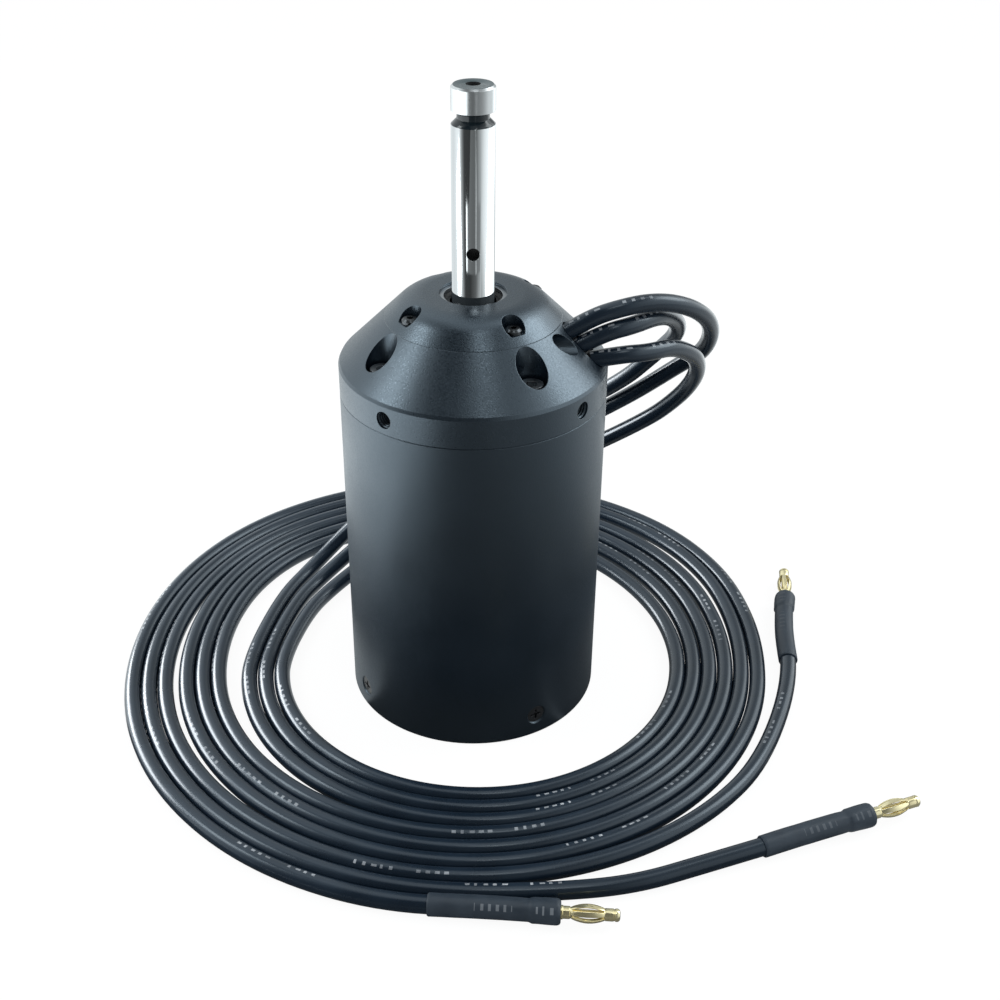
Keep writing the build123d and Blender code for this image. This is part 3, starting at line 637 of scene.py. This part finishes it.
# for each lead: place down the slope from the slot's middle, way out in degrees, rise in degrees
leadPlace = {"a": -0.25, "b": -4.75, "c": 4.75}
leadHeading = {"a": -8.0, "b": -2.0, "c": -10.0}
leadRise = {"a": 32.0, "b": 34.0, "c": 15.0}
# from the slot over the edge and round behind the can, down to the floor
dropPoints = {
    "a": [(37.7, -4.0, 104.3), (43.2, 1.2, 104.1), (47.6, 7.0, 101.8), (50.9, 12.8, 97.4),
          (51.4, 17.8, 92.0), (48.8, 21.8, 86.6), (45.2, 25.6, 80.6), (40.8, 29.5, 74.0),
          (32.0, 37.0, 64.0), (13.0, 50.0, 50.5), (-12.0, 57.5, 33.0), (-34.0, 55.5, 14.0),
          (-49.0, 44.5, 2.25), (-56.0, 29.0, 2.25)],
    "b": [(34.8, -4.1, 108.8), (40.9, -2.0, 109.2), (47.2, 1.0, 107.9), (53.5, 5.2, 104.4),
          (58.1, 10.0, 99.2), (59.8, 15.0, 92.8), (58.6, 19.5, 86.2), (53.8, 24.0, 80.4),
          (48.3, 28.0, 74.0), (43.0, 32.0, 67.9), (33.0, 38.5, 58.0), (12.5, 48.0, 42.0),
          (-11.0, 52.5, 25.5), (-32.0, 49.0, 10.5), (-45.5, 39.5, 2.25), (-52.0, 26.0, 2.25)],
    "c": [(41.6, -4.8, 97.6), (47.4, -0.4, 97.0), (51.9, 3.8, 94.0), (55.2, 7.8, 90.3),
          (56.9, 13.2, 84.0), (55.9, 18.5, 77.0), (52.8, 23.0, 70.3), (47.4, 28.0, 62.5),
          (31.0, 37.5, 47.5), (10.0, 45.0, 33.0), (-12.0, 47.0, 18.5), (-31.0, 42.5, 7.0),
          (-42.5, 33.0, 2.25), (-48.0, 21.5, 2.25)],
}
# radius of each lead's turns where the photograph shows it, by degrees wound
turnAngles = [180, 270, 360, 405, 490, 540, 630, 720, 765, 850, 900, 990, 1045, 1080]
turnRadii = {
    "a": [61.0, 62.4, 64.6, 71.5, 83.5, 78.3, 75.5, 77.8, 88.2, 96.2, 92.5, 88.5, 88.5, 88.5],
    "b": [56.6, 58.0, 60.3, 66.0, 79.0, 74.0, 71.1, 73.4, 83.8, 91.8, 88.2, 84.1, 84.1, 84.1],
    "c": [52.2, 53.6, 56.0, 60.0, 74.5, 69.7, 66.7, 69.0, 77.0, 87.4, 83.9, 79.8, 82.2, 86.5],
}
# degrees where the winding ends, points between it and the sleeve, and the sleeve's start and aim
windEnd = {"a": 960, "b": 990, "c": 1060}
tailPoints = {"a": [], "b": [(24.0, -83.8), (38.0, -81.5)], "c": []}
endStart = {"a": (-10.1, -88.4, 2.7), "b": (67.0, -71.0, 2.7), "c": (86.5, -1.0, 2.7)}
endAim = {"a": (32.4, -92.5, 3.7), "b": (107.5, -56.5, 3.7), "c": (93.0, 40.0, 3.7)}
endRun = {"a": 12.0, "b": 16.0, "c": 12.0}


def leadDirection(name):
    heading, rise = math.radians(leadHeading[name]), math.radians(leadRise[name])
    return Vector((math.cos(heading) * math.cos(rise), math.sin(heading) * math.cos(rise), math.sin(rise)))


def leadRoot(name):
    # a little inside the slot that runs down the slope of the cone
    azimuth, radius = math.radians(slotValues["azimuth"]), slotValues["radius"]
    middle = Vector((radius * math.cos(azimuth), radius * math.sin(azimuth), slotValues["coneSum"] - radius))
    down = Vector((math.cos(azimuth), math.sin(azimuth), -1)).normalized()
    return middle + down * leadPlace[name] - leadDirection(name) * slotValues["setIn"]


def turnRadius(name, degrees):
    # smooth curve through the radii that were read at turnAngles
    angles, radii = turnAngles, turnRadii[name]
    last = len(angles) - 2
    step = min(max(sum(degrees >= angle for angle in angles) - 1, 0), last)
    width = angles[step + 1] - angles[step]
    share = (degrees - angles[step]) / width

    def slope(at):
        low, high = max(at - 1, 0), min(at + 1, len(angles) - 1)
        return (radii[high] - radii[low]) / (angles[high] - angles[low]) * width

    squared, cubed = share ** 2, share ** 3
    return (radii[step] * (2 * cubed - 3 * squared + 1) + slope(step) * (cubed - 2 * squared + share)
            + radii[step + 1] * (3 * squared - 2 * cubed) + slope(step + 1) * (cubed - squared))


def endDirection(name):
    return (Vector(endAim[name]) - Vector(endStart[name])).normalized()


def leadRoute(name):
    root = leadRoot(name)
    straight = root + leadDirection(name) * (slotValues["setIn"] + slotValues["straight"])
    points = [root, straight] + [Vector(point) for point in dropPoints[name]]
    height, pitch = leadValues["height"], leadValues["pitchDegrees"]
    outset = 1 / math.cos(math.radians(pitch / 2))  # the curve runs inside its points
    for degrees in range(turnAngles[0], windEnd[name] + 1, pitch):
        angle, radius = math.radians(degrees), turnRadius(name, degrees) * outset
        points.append(Vector((radius * math.cos(angle), radius * math.sin(angle), height)))
    points += [Vector((x, y, height)) for x, y in tailPoints[name]]
    start = Vector(endStart[name])
    points += [start - endDirection(name) * endRun[name], start]
    return [point * mm for point in points]


def routeCurve(name, points):
    data = bpy.data.curves.new(name, "CURVE")
    data.dimensions = "3D"
    data.resolution_u = 8
    spline = data.splines.new("NURBS")
    spline.points.add(len(points) - 1)
    for control, point in zip(spline.points, points):
        control.co = (*point, 1)
    spline.order_u = 3
    spline.use_endpoint_u = True
    return newObject(name, data)


def leadTree():
    # a round profile swept along the route, with the length along it and the direction round it stored
    tree, groupIn, groupOut = newTree("leadSweep", [
        ("Radius", "NodeSocketFloat"), ("Sides", "NodeSocketInt"), ("Material", "NodeSocketMaterial")])
    upright = addNode(tree, "GeometryNodeSetCurveNormal", {
        "Curve": groupIn.outputs["Geometry"]}, mode="Z_UP")
    length = addNode(tree, "GeometryNodeSplineParameter")
    named = addNode(tree, "GeometryNodeStoreNamedAttribute", {
        "Geometry": upright.outputs[0], "Name": "along", "Value": length.outputs["Length"]},
        data_type="FLOAT", domain="POINT")
    circle = addNode(tree, "GeometryNodeCurvePrimitiveCircle", {
        "Resolution": groupIn.outputs["Sides"], "Radius": groupIn.outputs["Radius"]})
    corner = addNode(tree, "GeometryNodeInputPosition")
    marked = addNode(tree, "GeometryNodeStoreNamedAttribute", {
        "Geometry": circle.outputs[0], "Name": "around", "Value": corner.outputs[0]},
        data_type="FLOAT_VECTOR", domain="POINT")
    swept = addNode(tree, "GeometryNodeCurveToMesh", {
        "Curve": named.outputs[0], "Profile Curve": marked.outputs[0], "Fill Caps": True})
    finishTree(tree, groupIn, groupOut, swept.outputs[0])
    return tree


barShare = (0.62, -0.38)  # share of the pitch that a bar takes: the most, and how it varies
barWidth = (0.55, 0.45)  # likewise of the half width: the least, and how it varies


def barMask(tree, along, around, pitch, halfWidth):
    # plain worn bars across a cord, each a little different; around is in turns, 0 on the row
    number = mathOut(tree, "DIVIDE", along, pitch)
    uneven = addNode(tree, "ShaderNodeTexWhiteNoise", {
        "W": mathOut(tree, "FLOOR", number)}, noise_dimensions="1D").outputs["Value"]
    length = mathOut(tree, "MULTIPLY_ADD", uneven, barShare[1], barShare[0])
    half = mathOut(tree, "MULTIPLY_ADD", uneven, halfWidth * barWidth[1], halfWidth * barWidth[0])
    onBar = below(tree, mathOut(tree, "FRACT", number), length)
    return both(tree, onBar, below(tree, absOut(tree, around), half))


def attributeOut(tree, name, output="Fac"):
    return addNode(tree, "ShaderNodeAttribute", attribute_name=name).outputs[output]


def turnShare(tree, name):
    # angle of a stored direction, in turns from -0.5 to 0.5
    split = splitOut(tree, attributeOut(tree, name, "Vector"))
    return mathOut(tree, "DIVIDE", mathOut(tree, "ARCTAN2", split["Y"], split["X"]), 2 * math.pi)


def leadFinish():
    material, tree, shader = newMaterial("leadSilicone")
    broad = grainOutputs(tree, 90)["Fac"]
    fine = grainOutputs(tree, 2600, 2.0)["Fac"]
    along = attributeOut(tree, "along")
    rubber = mixedColor(tree, broad, (0.007, 0.0145, 0.026, 1), (0.011, 0.021, 0.036, 1))
    # two groups of bars to a period, on a line that wanders round the lead
    pitch = markValues["pitch"] * mm
    place = mathOut(tree, "MODULO", along, markValues["period"] * mm)
    firstEnd, secondStart, secondEnd = (bars * pitch for bars in markValues["groups"])
    second = both(tree, above(tree, place, secondStart), below(tree, place, secondEnd))
    groups = mathOut(tree, "ADD", below(tree, place, firstEnd), second)
    wave = mathOut(tree, "SINE", mathOut(tree, "MULTIPLY", along, markValues["driftPerMetre"]))
    centre = mathOut(tree, "MULTIPLY_ADD", wave, markValues["drift"], markValues["centre"])
    offLine = mathOut(tree, "SUBTRACT", turnShare(tree, "around"), centre)
    mask = both(tree, groups, barMask(tree, along, offLine, pitch, markValues["halfWidth"]))
    worn = both(tree, mask, rangedValue(tree, broad, *markValues["worn"]))
    tree.links.new(mixColor(tree, worn, rubber, markValues["color"]), shader.inputs["Base Color"])
    tree.links.new(rangedValue(tree, broad, 0.25, 0.31), shader.inputs["Roughness"])
    setShader(shader, {
        "IOR": 1.5, "Specular Tint": (0.7, 0.86, 1.0, 1), "Coat Weight": 0.5, "Coat Roughness": 0.2})
    addBump(tree, shader, fine, 0.3, 0.012)
    return material


def makeLeads():
    tree, finish = leadTree(), leadFinish()
    made = {}
    for name in sorted(leadPlace):
        title = f"phaseLead{name.upper()}"
        route = routeCurve(f"leadRoute{name.upper()}", leadRoute(name))
        graph = bpy.context.evaluated_depsgraph_get()
        line = bpy.data.meshes.new_from_object(route.evaluated_get(graph), depsgraph=graph)
        path = [vertex.co.copy() for vertex in line.vertices]
        mesh = bakeTree(route, tree, {
            "Radius": leadValues["diameter"] / 2 * mm, "Sides": leadValues["sides"],
            "Material": finish}, title)
        mesh.shade_smooth()
        lead = newObject(title, mesh)
        bpy.data.objects.remove(route)
        length = sum((second - first).length for first, second in zip(path, path[1:]))
        print("lead", name, "length", round(length, 4), "faces", len(mesh.polygons))
        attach(lead, "root")
        made[name] = (lead, path)
    return made


# Shaft: its own mesh, with the step of the seal's running face moved down out of sight

shaftValues = {
    "stepBand": (0.108, 0.1115),
    "stepHeight": 0.1061,
    "sharpDegrees": 25,
}


def makeShaft():
    values = shaftValues
    low, high = values["stepBand"]
    work = bmesh.new()
    work.from_mesh(frame["nodes"]["shaft"].data)
    bmesh.ops.remove_doubles(work, verts=work.verts, dist=1e-6)
    for vertex in work.verts:
        if low < vertex.co.z < high:
            vertex.co.z = values["stepHeight"]
    mesh = bpy.data.meshes.new("driveShaft")
    work.to_mesh(mesh)
    work.free()
    finishShading(mesh, values["sharpDegrees"])
    mesh.materials.append(finishes["groundSteel"])
    shaft = newObject("driveShaft", mesh)
    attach(shaft, "rotor")
    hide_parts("shaft")


makeShaft()
print("shaft ready")


# Threads in the four side holes of the rim: stacked rings with a sharp crest

threadValues = {
    "turn": -39.0,
    "height": 90.3,
    "outer": 2.08,
    "crest": 1.78,
    "pitch": 0.7,
    "mouth": 32.0,
    "rings": 12,
    "sides": 28,
    "holes": 4,
}


def turnTree():
    # copies turned about Z, the given number to the full circle
    tree, groupIn, groupOut = newTree("turnCopies", [
        ("Count", "NodeSocketInt"), ("Material", "NodeSocketMaterial")])
    points = addNode(tree, "GeometryNodePoints", {"Count": groupIn.outputs["Count"]})
    index = addNode(tree, "GeometryNodeInputIndex").outputs[0]
    step = mathOut(tree, "DIVIDE", 2 * math.pi, groupIn.outputs["Count"])
    turn = addNode(tree, "ShaderNodeCombineXYZ", {"Z": mathOut(tree, "MULTIPLY", index, step)})
    copies = addNode(tree, "GeometryNodeInstanceOnPoints", {
        "Points": points.outputs[0], "Instance": groupIn.outputs["Geometry"], "Rotation": turn.outputs[0]})
    finishTree(tree, groupIn, groupOut, copies.outputs[0])
    return tree


copiesTree = turnTree()


def turnedCopies(name, mesh, count, material):
    carrier = newObject(name + "Carrier", mesh)
    copies = bakeTree(carrier, copiesTree, {"Count": count, "Material": material}, name)
    bpy.data.objects.remove(carrier)
    return copies


def makeThreads():
    values = threadValues
    profile = []
    for step in range(values["rings"]):
        reach = -step * values["pitch"]
        profile += [(values["outer"], reach), (values["crest"], reach - values["pitch"] / 2)]
    profile.append((values["outer"], -values["rings"] * values["pitch"]))
    angle = math.radians(values["turn"])
    out = Vector((math.cos(angle), math.sin(angle), 0))
    start = out * values["mouth"] + Vector((0, 0, values["height"]))
    single = latheMesh("rimThread", profile, values["sides"], 20, placeAlong(start * mm, out))
    copies = turnedCopies("rimThreads", single, values["holes"], finishes["anodisedBlack"])
    threads = newObject("rimThreads", copies)
    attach(threads, "root")


makeThreads()
print("threads ready")


# Crimped ends: shrink sleeves with a swollen mouth, and gold bullet plugs with leaf springs

sleeveValues = {
    "length": 29.5,
    "radius": 2.62,
    "swell": 2.98,
    "swellStart": 22.3,
    "swellRun": 1.0,
    "sides": 56,
    "step": 0.45,
    "wrinkle": 0.07,
    "wrinkleRound": 2.2,
    "wrinkleAlong": 0.16,
    "bend": {"a": 0.15, "b": 0.2, "c": 0.7},
    "markTurn": {"a": 0.37, "b": 0.35, "c": 0.2},
    "markLevel": {"a": 0.34, "b": 0.14, "c": 0.07},
    "markPitch": 1.7,
    "markHalfWidth": 0.055,
    "markGroups": ((14.7, 4.2), (26.2, 2.1)),
    "markColor": (0.6, 0.64, 0.68, 1),
}
bulletValues = {
    "neck": 1.25,
    "bulge": 2.12,
    "springStart": 2.2,
    "springEnd": 9.7,
    "springCount": 6,
    "springHalfDegrees": 19,
    "springWaist": 0.18,
    "springRows": 18,
    "springColumns": 6,
    "sheet": 0.22,
    "turn": 22,
    "outline": [
        (0, -6.5), (1.95, -6.5), (1.95, -1.6), (1.55, -1.4), (1.55, 0.35), (1.4, 0.5), (1.4, 1.9),
        (1.25, 2.05), (1.25, 2.5), (0.9, 2.7), (0.85, 9.3), (1.25, 9.5), (1.35, 9.7), (1.39, 9.9),
        (1.39, 11.5), (1.27, 11.6), (1.27, 11.8), (1.42, 11.95), (1.42, 12.45), (1.15, 12.85),
        (0.7, 13.0), (0, 13.0)],
}


def smoothShare(value):
    value = min(max(value, 0.0), 1.0)
    return value * value * (3 - 2 * value)


def endPlace(name):
    return placeAlong(Vector(endStart[name]) * mm, endDirection(name))


def sleeveOutline():
    # (radius, reach) of the outside and then of the inside of the mouth
    values = sleeveValues
    outline = [(2.2, 0.0), (2.45, 0.0), (values["radius"], 0.25)]
    reach = 0.8
    while reach < values["length"] - 1.2:
        swell = smoothShare((reach - values["swellStart"]) / values["swellRun"])
        outline.append((values["radius"] + (values["swell"] - values["radius"]) * swell, reach))
        reach += values["step"]
    end, swell = values["length"], values["swell"]
    outline += [(swell, end - 1.2), (swell - 0.05, end - 0.7), (swell - 0.25, end - 0.25),
                (swell - 0.62, end), (2.05, end - 0.15), (2.0, end - 1.5), (0, end - 1.5)]
    return outline


def makeSleeve(name):
    values = sleeveValues
    outline = [(0, 0.0)] + sleeveOutline()
    mesh = latheMesh(f"shrinkSleeve{name.upper()}", outline, values["sides"], 40)
    reaches, turns = [], []
    for vertex in mesh.vertices:
        reach = vertex.co.z / mm
        radius = math.hypot(vertex.co.x, vertex.co.y) / mm
        angle = math.atan2(vertex.co.y, vertex.co.x)
        if radius > 2.4:
            # outside: folds run along the tube and are deepest where it narrows behind the swell
            around = values["wrinkleRound"]
            seed = Vector((math.cos(angle) * around, math.sin(angle) * around,
                           reach * values["wrinkleAlong"] + ord(name) * 5))
            fold = noise.noise(seed) + 0.5 * noise.noise(seed * 2.3)
            narrow = math.exp(-((reach - values["swellStart"] - 1.2) / 2.2) ** 2)
            scale = 1 + values["wrinkle"] * (0.6 + 1.8 * narrow) * (fold - 0.75) / radius
            vertex.co.x *= scale
            vertex.co.y *= scale
        share = min(max(reach / values["length"], 0), 1)
        vertex.co.x += values["bend"][name] * math.sin(math.pi * share) * mm
        onRow = angle - 2 * math.pi * values["markTurn"][name]
        reaches.append(reach * mm)
        turns.extend((math.cos(onRow), math.sin(onRow), 0))
    levels = [values["markLevel"][name]] * len(reaches)
    for title, kind, field, numbers in (
            ("along", "FLOAT", "value", reaches), ("around", "FLOAT_VECTOR", "vector", turns),
            ("markLevel", "FLOAT", "value", levels)):
        mesh.attributes.new(title, kind, "POINT").data.foreach_set(field, numbers)
    mesh.transform(endPlace(name))
    mesh.materials.append(sleeveFinish)
    sleeve = newObject(mesh.name, mesh)
    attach(sleeve, "root")
    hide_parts(f"lead_sleeve_{name}")
    return sleeve


def makeSleeveFinish():
    # matte tube with two groups of faint worn bars
    values = sleeveValues
    material, tree, shader = newMaterial("sleeveTube")
    broad = grainOutputs(tree, 240)["Fac"]
    fine = grainOutputs(tree, 1700, 2.0)["Fac"]
    along = attributeOut(tree, "along")
    bars = barMask(tree, along, turnShare(tree, "around"), values["markPitch"] * mm, values["markHalfWidth"])
    groups = mathOut(tree, "ADD", *(
        within(tree, along, middle * mm, half * mm) for middle, half in values["markGroups"]))
    mask = both(tree, both(tree, bars, groups), attributeOut(tree, "markLevel"))
    worn = both(tree, mask, rangedValue(tree, broad, 0.6, 1.0))
    color = mixColor(tree, worn, mixedColor(tree, broad, *tubeColors), values["markColor"])
    tree.links.new(color, shader.inputs["Base Color"])
    tree.links.new(rangedValue(tree, broad, 0.42, 0.55), shader.inputs["Roughness"])
    addBump(tree, shader, fine, 0.35, 0.03)
    return material


def springMesh():
    # one leaf: an arc of sheet that bulges between its two ends
    values = bulletValues
    half = math.radians(values["springHalfDegrees"])
    rows, columns = values["springRows"], values["springColumns"]
    run, rise = values["springEnd"] - values["springStart"], values["bulge"] - values["neck"]
    vertices, faces = [], []
    for layer in (0.0, values["sheet"]):
        for row in range(rows + 1):
            share = row / rows
            bow = math.sin(math.pi * share)
            reach = values["springStart"] + run * share
            radius = values["neck"] + rise * bow ** 0.8 - layer
            waist = half * (1 - values["springWaist"] * bow)
            for column in range(columns + 1):
                angle = waist * (2 * column / columns - 1)
                vertices.append(Vector((radius * math.cos(angle), radius * math.sin(angle), reach)) * mm)
    sheet = (rows + 1) * (columns + 1)

    def at(layer, row, column):
        return layer * sheet + row * (columns + 1) + column

    for row in range(rows):
        for column in range(columns):
            for layer in (0, 1):
                faces.append((at(layer, row, column), at(layer, row, column + 1),
                              at(layer, row + 1, column + 1), at(layer, row + 1, column)))
        for column in (0, columns):
            faces.append((at(0, row, column), at(0, row + 1, column),
                          at(1, row + 1, column), at(1, row, column)))
    for row in (0, rows):
        for column in range(columns):
            faces.append((at(0, row, column), at(0, row, column + 1),
                          at(1, row, column + 1), at(1, row, column)))
    return meshFrom("bulletSpring", vertices, faces, 35)


def joinMeshes(name, *meshes):
    work = bmesh.new()
    for mesh in meshes:
        work.from_mesh(mesh)
    joined = bpy.data.meshes.new(name)
    work.to_mesh(joined)
    work.free()
    joined.shade_smooth()
    joined.set_sharp_from_angle(angle=math.radians(35))
    return joined


def makeBullet(name):
    values = bulletValues
    core = latheMesh("bulletCore", values["outline"], 40, 35)
    springs = turnedCopies("bulletSprings", springMesh(), values["springCount"], finishes["goldPlate"])
    mesh = joinMeshes(f"bulletPlug{name.upper()}", core, springs)
    mouth = Matrix.Translation((0, 0, sleeveValues["length"] * mm))
    mesh.transform(endPlace(name) @ mouth @ Matrix.Rotation(math.radians(values["turn"]), 4, "Z"))
    mesh.materials.append(finishes["goldPlate"])
    plug = newObject(mesh.name, mesh)
    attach(plug, "root")
    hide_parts(f"bullet_connector_{name}")
    return plug


sleeveFinish = makeSleeveFinish()
leadEnds = {name: (makeSleeve(name), makeBullet(name)) for name in sorted(leadPlace)}
print("sleeves and bullet plugs ready")

leads = makeLeads()
leadNodes = {
    "a": ("lead_a", "lead_coil"),
    "b": ("lead_b", "lead_tail_b", "lead_coil"),
    "c": ("lead_c", "lead_coil"),
}
for leadName, (leadPiece, leadPath) in leads.items():
    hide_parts(*leadNodes[leadName])
makeEdgeLamp([leadPiece for leadPiece, leadPath in leads.values()])
print("leads ready")
